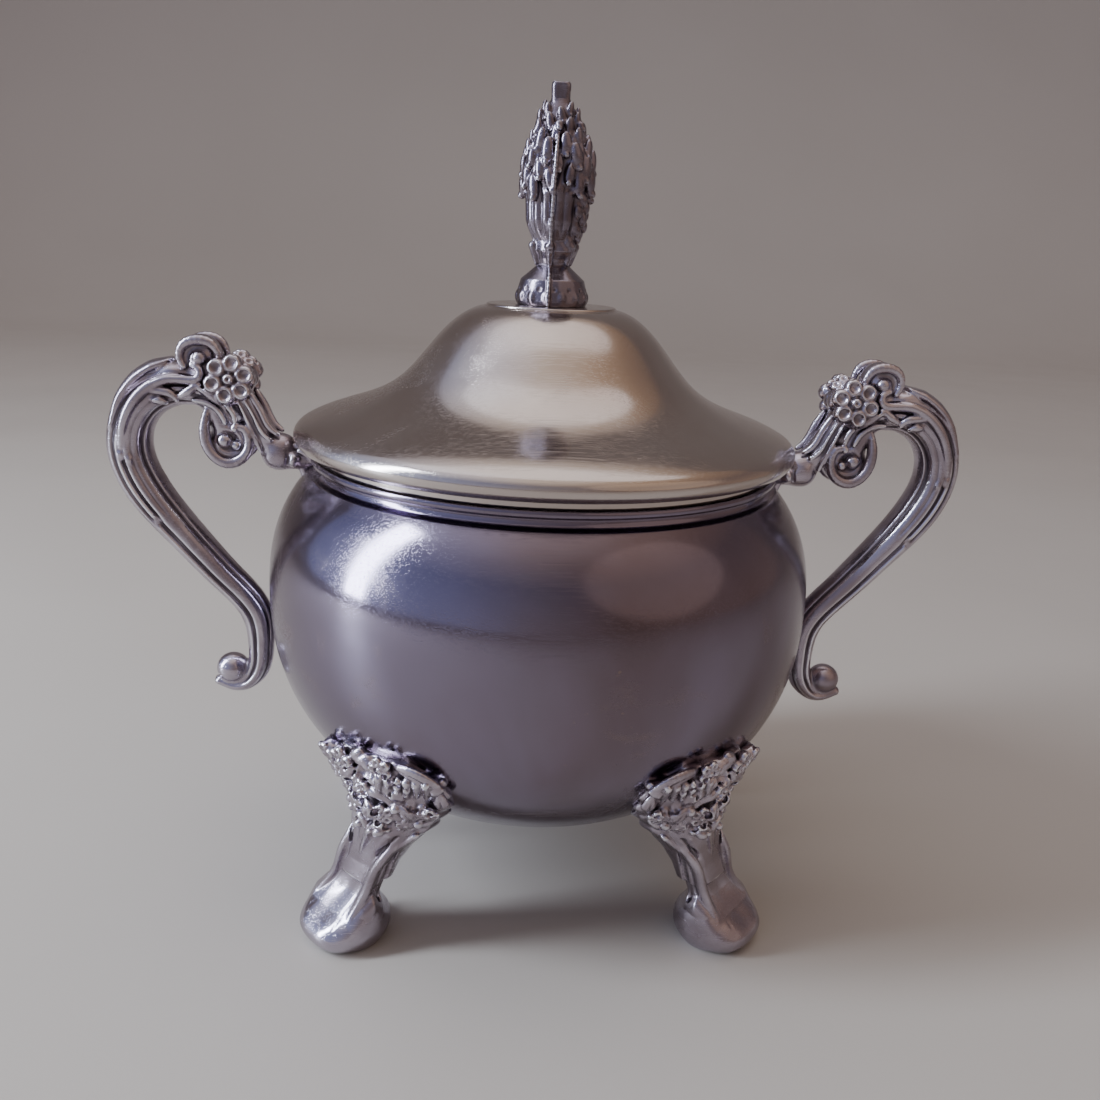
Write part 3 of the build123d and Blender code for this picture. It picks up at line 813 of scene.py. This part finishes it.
def model_finial():
    """Tall bud: a beaded bun, a leafy waist, a fluted cup, torn acanthus leaves and a square stub."""
    top = FINIAL_HIGH.z
    clay = Clay((-8.4, -8.4, FINIAL_LOW.z - 1), (8.4, 8.4, top + 1.2), 0.18)
    heights = [
        117.5, 118.2, 120.4, 122.2, 123.3, 124.9, 126, 127.4, 129.2, 131.2, 132.6, 136.1, 137.8, 140.4,
        143, 144.8, 146.6, 148.3, 150.4, 152.1, 153.3, 153.9, 156.9,
    ]
    radii = [
        6.5, 6.7, 6.5, 6, 4.7, 2.9, 3.3, 4.2, 3.9, 4.9, 5.4, 5.6, 5.9, 6, 6, 5.7, 5, 4.1, 3.4,
        2.7, 2, 1.7, 1.8,
    ]

    def body(x, y, z):
        radius = np.interp(z, heights, radii)
        angle = np.arctan2(y, x)
        gap = np.sqrt(x * x + y * y)
        cup = np.clip((z - 129.6) / 1.5, 0, 1) * np.clip((139.4 - z) / 0.8, 0, 1)
        leaves = np.clip((z - 137.4) / 0.8, 0, 1) * np.clip((150 - z) / 2.5, 0, 1)
        flutes = 0.42 * (np.abs(np.cos(8 * angle)) - 0.75) * cup
        broad = 0.30 * np.cos(7 * angle + 0.5 * np.sin(0.9 * z))
        folds = (broad + 0.22 * np.cos(17 * angle - 0.6 * z)) * leaves
        waist = 0.25 * np.cos(6 * angle) * bell(z, 127.4, 1.2)
        side = (gap - radius - flutes - folds - waist) * 0.75
        return np.maximum(side, np.maximum(117.5 - z, z - top + 0.3))

    clay.merge((-7, -7, 117.5), (7, 7, top), body, 0.2)

    # Beads round the foot of the bun, with pits between them.
    for k in range(14):
        angle = 2 * pi * k / 14
        out = spoke(angle)
        clay.egg(out * 6.25 + UP * 119, (0.75, 0.85, 1.2), (out, out.cross(UP), (0, 0, 1)), 0.25)
        gap = spoke(angle + pi / 14)
        clay.ball(gap * 6.7 + UP * 120.6, 0.5, 0.2, True)

    # Torn acanthus leaves over the cup, in ragged rows, each with a deep fold beside it.
    for k in range(60):
        z = 138 + 14.4 * ((k + 0.5) / 60)
        out = spoke(2 * pi * (k * GOLDEN % 1))
        side = out.cross(UP)
        size = (1.35 - 0.65 * (z - 138) / 14.4) * (0.8 + 0.45 * (k * 0.37 % 1))
        gap = np.interp(z, heights, radii)
        tilt = UP * 0.93 + side * (0.5 * (k * 0.83 % 1) - 0.25)
        tilt.normalize()
        across = out.cross(tilt)
        middle = out * (gap + 0.25) + UP * z
        clay.egg(middle, (1.9 * size, 0.9 * size, 0.66 * size), (tilt, across, out), 0.35)
        clay.ball(middle - tilt * 1.5 * size + out * 0.32, 0.55 * size, 0.2)
        fold = middle + across * 1 * size + out * 0.5
        clay.rod(fold - tilt * 1.3 * size, fold + tilt * 1.3 * size, 0.2, 0.32 * size, 0.15, True)

    # Leaf points that stand off the shoulder.
    for k in range(6):
        out = spoke(2 * pi * k / 6 + 0.45)
        root = out * 3.6 + UP * 146.6
        tip = out * (4.5 + 0.3 * sin(2 * k)) + UP * (148.9 + 0.5 * sin(1.7 * k))
        clay.rod(root, tip, 0.8, 0.75, 0.3)
        clay.ball(tip + out * 0.45 - UP * 0.6, 0.6, 0.2)
        clay.ball(tip + out * 0.2 - UP * 2, 0.5, 0.2, True)

    # Lobes and pits that break up the cup on one side.
    for k in range(22):
        z = 129 + 9 * (k + 0.5) / 22
        out = spoke(-0.9 + 2.4 * (k * GOLDEN % 1))
        gap = np.interp(z, heights, radii)
        clay.egg(out * (gap + 0.1) + UP * z, (1.3, 0.9, 0.7), ((0, 0, 1), out.cross(UP), out), 0.3)
        clay.ball(out * (gap + 0.75) + UP * (z + 1.2), 0.45, 0.2, True)

    # Waist leaves above the collar.
    for k in range(6):
        out = spoke(2 * pi * (k + 0.25) / 6)
        clay.rod(out * 3.3 + UP * 125.2, out * 4.1 + UP * 128.2, 0.5, 0.9, 0.3)
        clay.rod(out * 3.6 + UP * 129, out * 4.7 + UP * 132, 0.5, 0.8, 0.3)

    # Tip: a worn square stub with a groove down each face.
    for k in range(4):
        angle = pi / 2 * k + 0.75
        out = spoke(angle)
        clay.rod(out * 1.2 + UP * 153.2, out * 1.35 + UP * (top - 1), 0.75, 0.8, 0.3)
        gap = spoke(angle + pi / 4)
        clay.rod(gap * 2.2 + UP * 153.6, gap * 2.1 + UP * (top + 0.4), 0.3, 0.35, 0.2, True)
    clay.ball((2.2, -0.9, 154.4), 0.8, 0.25, True)

    # Parting line of the mould, left standing as a thin ridge down the front.
    seam = [
        (-0.5, -4.6, 148.2), (-0.7, -6.5, 145), (-0.9, -6.9, 139.6), (-1, -6.1, 134.6),
        (-1, -4.7, 130), (-0.9, -4.2, 127.2), (-0.9, -3.1, 124.9), (-1, -5.4, 122.9),
        (-1.1, -6.7, 120), (-1.1, -6.8, 117.8),
    ]
    clay.thread(seam, [0.25, 0.3, 0.32, 0.32] + [0.3] * 6, 0.35, count=40)

    clay.merge((-9, -9, 110), (9, 9, FINIAL_LOW.z), below(FINIAL_LOW.z), 0.1, True)
    return clay


# ---- materials


class Nodes:
    """Shorthand for adding nodes to a tree."""

    def __init__(self, tree):
        self.tree = tree

    def feed(self, socket, value):
        if isinstance(value, bpy.types.NodeSocket):
            self.tree.links.new(value, socket)
        else:
            socket.default_value = value

    def add(self, kind, inputs, **settings):
        node = self.tree.nodes.new(kind)
        for key, value in settings.items():
            setattr(node, key, value)
        for key, value in inputs.items():
            self.feed(node.inputs[key], value)
        return node


class Paint(Nodes):
    """Shorthand for building a material."""

    def __init__(self, name):
        self.material = bpy.data.materials.new(name)
        self.material.use_nodes = True
        super().__init__(self.material.node_tree)
        self.shader = self.tree.nodes["Principled BSDF"]
        self.coords = self.add("ShaderNodeTexCoord", {}).outputs["Object"]

    def noise(self, scale, detail=4.0, stretch=(1, 1, 1), turn=(0, 0, 0), warp=0.0, rough=0.5):
        """Noise of about that many features per metre, optionally stretched, turned and bent."""
        mapping = self.add("ShaderNodeMapping", {"Rotation": turn, "Scale": stretch, "Vector": self.coords})
        inputs = {"Scale": scale, "Detail": detail, "Roughness": rough, "Distortion": warp}
        inputs["Vector"] = mapping.outputs["Vector"]
        return self.add("ShaderNodeTexNoise", inputs).outputs["Fac"]

    def spread(self, value, low, high, out_low=0.0, out_high=1.0):
        inputs = {"Value": value, "From Min": low, "From Max": high, "To Min": out_low, "To Max": out_high}
        return self.add("ShaderNodeMapRange", inputs, interpolation_type="SMOOTHSTEP").outputs["Result"]

    def math(self, kind, a, b=0.0):
        return self.add("ShaderNodeMath", {0: a, 1: b}, operation=kind).outputs["Value"]

    def mix(self, share, a, b):
        return self.add("ShaderNodeMix", {0: share, 6: a, 7: b}, data_type="RGBA").outputs[2]

    def attribute(self, name):
        return self.add("ShaderNodeAttribute", {}, attribute_name=name).outputs["Fac"]

    def bump(self, height, distance, strength=1.0, under=None):
        inputs = {"Strength": strength, "Distance": distance, "Height": height}
        if under is not None:
            inputs["Normal"] = under
        return self.add("ShaderNodeBump", inputs).outputs["Normal"]

    def finish(self, colour, roughness, normal, metallic=1.0):
        inputs = {"Base Color": colour, "Roughness": roughness, "Metallic": metallic, "Normal": normal}
        for key, value in inputs.items():
            self.feed(self.shader.inputs[key], value)
        return self.material


def scratch_sum(paint, directions, fineness, share):
    """Fine scratches in several directions: 1 in a scratch, 0 elsewhere."""
    total = 0.0
    for turn, warp in directions:
        line = paint.noise(fineness, 1.0, (0.012, 1, 1), turn, warp)
        total = paint.math("MAXIMUM", total, paint.spread(line, share, share + 0.06))
    return total


def spun_silver(name, tint, tarnish, stains):
    """Polished plate, long in use: arcs of fine scratches, hazy patches, faint tarnish and specks."""
    paint = Paint(name)
    cloud = paint.noise(16, 5.0, warp=0.6)
    bloom = paint.noise(42, 6.0, warp=1.2, rough=0.6)
    fine = scratch_sum(
        paint,
        [((0.3, 0.2, 0.4), 0.35), ((1.2, -0.5, 0.9), 0.3), ((-0.4, 0.9, 2.0), 0.4), ((0.1, 1.3, -0.6), 0.3)],
        4200,
        0.64,
    )
    coarse = scratch_sum(paint, [((0.2, 0.5, 0.3), 0.08), ((0.9, -0.3, 1.6), 0.06)], 1500, 0.74)
    speck = paint.spread(paint.noise(520, 2.0), 0.70, 0.76)
    speck = paint.math("MULTIPLY", speck, paint.spread(cloud, 0.48, 0.62))
    stain = paint.math("MAXIMUM", paint.math("MULTIPLY", paint.spread(bloom, 0.56, 0.74), stains), speck)
    colour = paint.mix(paint.spread(cloud, 0.35, 0.68), tint, tarnish)
    colour = paint.mix(paint.math("MULTIPLY", stain, 0.55), colour, (0.30, 0.23, 0.20, 1))
    haze = paint.spread(cloud, 0.3, 0.7, 0.11, 0.18)
    rough = paint.math("ADD", haze, paint.spread(bloom, 0.4, 0.75, 0.0, 0.07))
    rough = paint.math("ADD", rough, paint.math("MULTIPLY", fine, 0.07))
    rough = paint.math("ADD", rough, paint.math("MULTIPLY", stain, 0.20))
    normal = paint.bump(paint.noise(45, 2.0), 0.00025, 0.10)
    normal = paint.bump(paint.math("SUBTRACT", 1.0, fine), 0.000006, 0.5, normal)
    normal = paint.bump(paint.math("SUBTRACT", 1.0, coarse), 0.00001, 0.5, normal)
    return paint.finish(colour, rough, normal)


def cast_silver(name, tint, tarnish, worn):
    """Cast and plated: bright worn high points, dark tarnish in the hollows, a slightly grainy skin."""
    paint = Paint(name)
    hollow = paint.attribute("hollow")
    crevice = paint.attribute("crevice")
    cloud = paint.noise(90, 5.0, warp=0.5)
    deep = paint.spread(hollow, 0.15, 1.0)
    sharp = paint.spread(crevice, 0.006, 0.075)
    dirt = paint.math("MAXIMUM", deep, paint.math("MULTIPLY", sharp, 0.85))
    dirt = paint.math("MULTIPLY", dirt, paint.spread(cloud, 0.25, 0.6, 0.75, 1.0))
    high = paint.spread(crevice, -0.02, -0.11)
    colour = paint.mix(paint.spread(cloud, 0.35, 0.7), tint, tarnish)
    colour = paint.mix(high, colour, worn)
    colour = paint.mix(paint.math("MULTIPLY", dirt, 0.88), colour, (0.050, 0.036, 0.040, 1))
    rough = paint.math("ADD", paint.spread(cloud, 0.3, 0.7, 0.17, 0.30), paint.math("MULTIPLY", dirt, 0.28))
    rough = paint.math("SUBTRACT", rough, paint.math("MULTIPLY", high, 0.05))
    scratch = scratch_sum(paint, [((0.3, 0.2, 0.4), 0.4), ((1.2, -0.5, 0.9), 0.3)], 4000, 0.64)
    normal = paint.bump(paint.noise(700, 3.0), 0.00006, 0.5)
    normal = paint.bump(paint.noise(220, 2.0), 0.00018, 0.35, normal)
    normal = paint.bump(paint.math("SUBTRACT", 1.0, scratch), 0.00002, 0.5, normal)
    return paint.finish(colour, rough, normal)


def bare_brass():
    """Unplated brass hardware, dulled and marked by the spanner."""
    paint = Paint("bare_brass")
    cloud = paint.noise(180, 5.0, warp=0.8)
    turned = paint.noise(1400, 1.0, (0.05, 0.05, 1))
    scratch = scratch_sum(paint, [((0.3, 0.2, 0.4), 0.3), ((1.2, -0.5, 0.9), 0.3)], 1200, 0.62)
    colour = paint.mix(paint.spread(cloud, 0.35, 0.65), (0.72, 0.50, 0.22, 1), (0.33, 0.20, 0.09, 1))
    rough = paint.math("ADD", paint.spread(cloud, 0.3, 0.7, 0.28, 0.5), paint.math("MULTIPLY", scratch, 0.1))
    normal = paint.bump(turned, 0.00004, 0.5)
    normal = paint.bump(paint.math("SUBTRACT", 1.0, scratch), 0.00002, 0.6, normal)
    return paint.finish(colour, rough, normal)


def floor_paint():
    paint = Paint("pale_floor")
    paint.shader.inputs["Specular IOR Level"].default_value = 0.25
    cloud = paint.noise(3, 4.0)
    colour = paint.mix(cloud, (0.45, 0.42, 0.38, 1), (0.51, 0.48, 0.44, 1))
    rough = paint.spread(paint.noise(12, 4.0), 0.3, 0.7, 0.42, 0.55)
    return paint.finish(colour, rough, paint.bump(paint.noise(900, 3.0), 0.00005, 0.3), 0.0)


# ---- pieces

build_bowl()
build_lid()

handle = model_handle().skin(mirrored=True)
cast("right_handle_cast", handle, "bowl", ["right_handle"])
cast("left_handle_cast", handle, "bowl", ["left_handle"], Matrix.Scale(-1, 4, (1, 0, 0)))

foot = turned(model_foot().skin())
for place, azimuth, hand in (
    ("front_left", -135, 1), ("front_right", -45, -1), ("back_left", 135, -1), ("back_right", 45, 1),
):
    transform = Matrix.Rotation(radians(azimuth), 4, "Z") @ Matrix.Scale(hand, 4, (0, 1, 0))
    cast("foot_" + place + "_cast", foot, "bowl", ["foot_" + place], transform)

cast("finial_cast", model_finial().skin(), "lid", ["finial"])

# The bowl and the lid are the same spun plate. The bowl's dark, purple-tinted base colours are painted shade
# and painted reflection of a dark room. The lid's lighter, warmer base colours are a painted reflection of a
# pale warm wall. The cloudy tarnish and stains within each are the plate's own.
spun_body_painted_shade = spun_silver("spun_silver_body_painted_shade", (0.24, 0.21, 0.28, 1), (0.17, 0.13, 0.15, 1), 0.6)
spun_lid_painted_reflection = spun_silver("spun_silver_lid_painted_reflection", (0.58, 0.53, 0.50, 1), (0.48, 0.41, 0.37, 1), 0.35)
cast_plate = cast_silver("cast_silver", (0.50, 0.46, 0.53, 1), (0.33, 0.28, 0.32, 1), (0.84, 0.83, 0.90, 1))
dark_plate = cast_silver(
    "cast_silver_dark", (0.26, 0.23, 0.28, 1), (0.15, 0.12, 0.14, 1), (0.58, 0.58, 0.66, 1)
)
brass = bare_brass()

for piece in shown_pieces():
    name = piece.name
    if name == "finial_cast":
        material, slot = dark_plate, "cast_plate"
    elif "cast" in name:
        material, slot = cast_plate, "cast_plate"
    elif name.startswith("finial"):
        material, slot = brass, "bare_brass"
    # The lid gets the plate with a painted warm reflection, and the bowl gets the plate with painted dark
    # shade.
    elif name.startswith("lid"):
        material, slot = spun_lid_painted_reflection, "spun_plate"
    else:
        material, slot = spun_body_painted_shade, "spun_plate"
    piece.data.materials.clear()
    piece.data.materials.append(material)

# ---- stage, light and camera


def stage_mesh(name, vertices, faces):
    mesh = bpy.data.meshes.new(name)
    mesh.from_pydata(vertices, [], faces)
    mesh.shade_smooth()
    thing = placed(name, mesh)
    return thing


def build_sweep():
    """Floor that curves up into a wall behind the bowl."""
    half, near, bend_start, bend_r, top = 4, -3, 1.1, 0.7, 2.6
    line = [(near, 0), (0, 0), (bend_start * 0.5, 0)]
    for k in range(17):
        angle = pi / 2 * k / 16
        line.append((bend_start + bend_r * sin(angle), bend_r * (1 - cos(angle))))
    line.append((bend_start + bend_r, top))
    vertices = [(side * half, y, z) for y, z in line for side in (-1, 1)]
    faces = [(2 * k, 2 * k + 1, 2 * k + 3, 2 * k + 2) for k in range(len(line) - 1)]
    sweep = stage_mesh("floor", vertices, faces)
    sweep.data.materials.append(floor_paint())


def area_light(name, place, aim, size, power, colour, shape="RECTANGLE"):
    data = bpy.data.lights.new(name, "AREA")
    data.shape = shape
    data.size, data.size_y = size
    data.energy = power
    data.color = colour
    lamp = placed(name, data)
    lamp.location = place
    lamp.rotation_euler = (Vector(aim) - Vector(place)).to_track_quat("-Z", "Y").to_euler()


def build_world():
    """Soft room: warm overhead and near the floor, duller between, cool on the window side."""
    world = bpy.data.worlds.new("studio")
    world.use_nodes = True
    nodes = Nodes(world.node_tree)
    coords = nodes.add("ShaderNodeTexCoord", {})
    split = nodes.add("ShaderNodeSeparateXYZ", {0: coords.outputs["Generated"]})

    def ramp(axis, low, stops):
        spread = nodes.add("ShaderNodeMapRange", {"From Min": low, "Value": split.outputs[axis]})
        colours = nodes.add("ShaderNodeValToRGB", {"Fac": spread.outputs["Result"]})
        while len(colours.color_ramp.elements) < len(stops):
            colours.color_ramp.elements.new(0.5)
        for element, (place, colour) in zip(colours.color_ramp.elements, stops):
            element.position = place
            element.color = (*colour, 1)
        return colours.outputs["Color"]

    low_to_high = [
        (0, (0.42, 0.38, 0.36)), (0.5, (0.30, 0.28, 0.30)),
        (0.72, (0.55, 0.48, 0.42)), (0.9, (0.98, 0.86, 0.70)),
    ]
    left_to_right = [
        (0, (1.2, 1.5, 2.4)), (0.45, (0.95, 0.95, 1.05)),
        (0.75, (0.62, 0.50, 0.44)), (1, (0.75, 0.60, 0.52)),
    ]
    inputs = {0: 1.0, 6: ramp("Z", 0.0, low_to_high), 7: ramp("X", -1.0, left_to_right)}
    blend = nodes.add("ShaderNodeMix", inputs, data_type="RGBA", blend_type="MULTIPLY")
    sky = world.node_tree.nodes["Background"]
    nodes.feed(sky.inputs["Color"], blend.outputs[2])
    sky.inputs["Strength"].default_value = 1.0
    bpy.context.scene.world = world


build_sweep()
build_world()
area_light("window", (-0.66, -0.13, 0.37), (0, 0, 0.075), (0.13, 0.66), 9.0, (0.80, 0.88, 1.0))
area_light("ceiling", (0.0, 0.06, 0.75), (0, 0.0, 0.1), (0.95, 0.5), 0.8, (0.86, 0.90, 1.0), "ELLIPSE")
area_light("fill", (1.3, -1.1, 1.0), (0, 0, 0.08), (2.2, 1.8), 2.6, (1.0, 0.78, 0.60), "ELLIPSE")

# The camera stands where the photographer did, held slightly off level.
EYE = Vector((-0.01395, -0.20619, 0.12954))
AIM = Vector((0.00205, -0.00016, 0.06896))
ROLL = radians(2.83)
camera_data = bpy.data.cameras.new("camera")
camera_data.lens = 34.69
camera_data.sensor_width = 36.0
camera_data.clip_start = 0.01
camera = placed("camera", camera_data)
facing = (AIM - EYE).to_track_quat("-Z", "Y").to_matrix().to_4x4()
camera.matrix_world = Matrix.Translation(EYE) @ facing @ Matrix.Rotation(ROLL, 4, "Z")
bpy.context.scene.camera = camera
